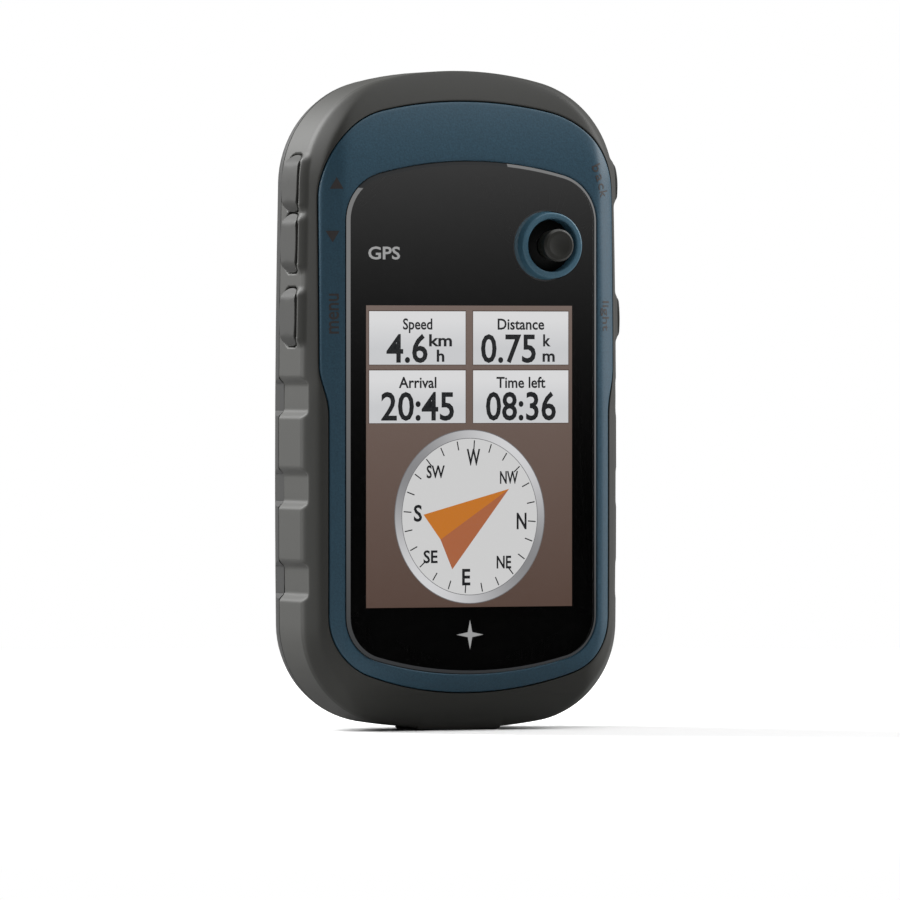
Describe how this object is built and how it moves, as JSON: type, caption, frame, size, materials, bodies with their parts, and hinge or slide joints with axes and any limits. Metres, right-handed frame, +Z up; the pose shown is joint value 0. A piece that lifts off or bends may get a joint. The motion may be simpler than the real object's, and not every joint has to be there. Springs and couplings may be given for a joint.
{
  "type": "handheld gps unit",
  "caption": "Hand-sized outdoor satellite navigator with a rubber grip band, colour display, thumb stick, side keys, battery cover with ring lock and a data port cover.",
  "frame": {"origin": "centre of the bounding box in X and Y, at the sole of the standing foot", "axes": "+Z up along the body, -Y out of the display, +X to the right seen from the front"},
  "size_m": [0.0554, 0.033, 0.103],
  "materials": {
    "bezel_paint": "satin blue-grey paint on plastic",
    "clear_lens": "clear hard-coated window",
    "black_film": "black adhesive film",
    "dark_plastic": "moulded dark plastic",
    "grip_rubber": "soft dark rubber, fine matt texture",
    "case_plastic": "moulded dark grey plastic, fine texture",
    "seal_rubber": "silicone seal",
    "black_rubber": "black rubber",
    "key_rubber": "dark key rubber",
    "screw_steel": "zinc plated steel",
    "stick_blue": "satin blue-grey collar",
    "display_glass": "lit colour panel",
    "white_plastic": "light diffuser plastic",
    "flex_film": "amber ribbon film",
    "board_green": "green solder mask",
    "ceramic": "fired ceramic",
    "sheet_steel": "bright sheet steel",
    "spring_steel": "nickel plated spring steel",
    "cell_sleeve": null,
    "stainless": "stainless steel"
  },
  "bodies": {
    "housing": {"front_bezel": "bezel_paint", "display_lens": "clear_lens", "lens_gasket": "black_film", "front_frame": "dark_plastic", "side_grip": "grip_rubber", "rear_case": "case_plastic", "case_gasket": "seal_rubber", "case_screws": "screw_steel", "joystick_ring": "stick_blue", "joystick_boot": "black_rubber", "joystick_base": "dark_plastic", "lcd_panel": "display_glass", "lcd_backlight": "white_plastic", "lcd_flex": "flex_film", "lcd_connector": "dark_plastic", "main_board": "board_green", "board_screws": "screw_steel", "key_switches": "sheet_steel", "gps_antenna": "ceramic", "rf_shield": "sheet_steel", "usb_receptacle": "sheet_steel", "sd_card_holder": "sheet_steel", "sd_card": "dark_plastic", "beeper": "dark_plastic", "backup_cell": "stainless", "aa_cell_left": "cell_sleeve", "aa_cell_right": "cell_sleeve", "battery_springs": "spring_steel", "battery_contacts": "spring_steel"},
    "zoom_in_key": {"zoom_in_key": "key_rubber"},
    "zoom_out_key": {"zoom_out_key": "key_rubber"},
    "menu_key": {"menu_key": "key_rubber"},
    "back_key": {"back_key": "key_rubber"},
    "light_key": {"light_key": "key_rubber"},
    "stick_gimbal": {"joystick_gimbal": "white_plastic"},
    "stick_sleeve": {"joystick_sleeve": "dark_plastic"},
    "stick_button": {"joystick_stem": "stainless", "joystick_cap": "black_rubber"},
    "weather_cap": {"weather_cap": "grip_rubber"},
    "battery_cover": {"battery_cover": "case_plastic", "cover_gasket": "seal_rubber", "lock_seal": "seal_rubber"},
    "cover_lock": {"cover_lock": "dark_plastic", "lock_cam": "stainless"},
    "d_ring": {"d_ring": "stainless"}
  },
  "joints": [
    {"name": "zoom_in_key_press", "type": "slide", "parent": "housing", "child": "zoom_in_key", "axis": [1, 0, 0], "range_m": [0, 0.0005], "stiffness_N_per_m": 2000},
    {"name": "zoom_out_key_press", "type": "slide", "parent": "housing", "child": "zoom_out_key", "axis": [1, 0, 0], "range_m": [0, 0.0005], "stiffness_N_per_m": 2000},
    {"name": "menu_key_press", "type": "slide", "parent": "housing", "child": "menu_key", "axis": [1, 0, 0], "range_m": [0, 0.0005], "stiffness_N_per_m": 2000},
    {"name": "back_key_press", "type": "slide", "parent": "housing", "child": "back_key", "axis": [-1, 0, 0], "range_m": [0, 0.0005], "stiffness_N_per_m": 2000},
    {"name": "light_key_press", "type": "slide", "parent": "housing", "child": "light_key", "axis": [-1, 0, 0], "range_m": [0, 0.0005], "stiffness_N_per_m": 2000},
    {"name": "stick_up_down", "type": "hinge", "parent": "housing", "child": "stick_gimbal", "pos_m": [0.013, -0.0086, 0.0757], "axis": [1, 0, 0], "range_deg": [-6, 6], "stiffness_Nm_per_rad": 0.02},
    {"name": "stick_left_right", "type": "hinge", "parent": "stick_gimbal", "child": "stick_sleeve", "pos_m": [0.013, -0.0086, 0.0757], "axis": [0, 0, 1], "range_deg": [-6, 6], "stiffness_Nm_per_rad": 0.02},
    {"name": "stick_press", "type": "slide", "parent": "stick_sleeve", "child": "stick_button", "axis": [0, 1, 0], "range_m": [0, 0.00035], "stiffness_N_per_m": 3000},
    {"name": "weather_cap_hinge", "type": "hinge", "parent": "housing", "child": "weather_cap", "pos_m": [0, 0.0128, 0.0938], "axis": [1, 0, 0], "range_deg": [0, 90]},
    {"name": "battery_cover_lift", "type": "slide", "parent": "housing", "child": "battery_cover", "axis": [0, 1, 0], "range_m": [0, 0.018]},
    {"name": "cover_lock_turn", "type": "hinge", "parent": "battery_cover", "child": "cover_lock", "pos_m": [0, 0.0125, 0.012], "axis": [0, 1, 0], "range_deg": [0, 90]},
    {"name": "d_ring_flip", "type": "hinge", "parent": "cover_lock", "child": "d_ring", "pos_m": [0, 0.0149, 0.012], "axis": [-1, 0, 0], "range_deg": [0, 100]}
  ]
}
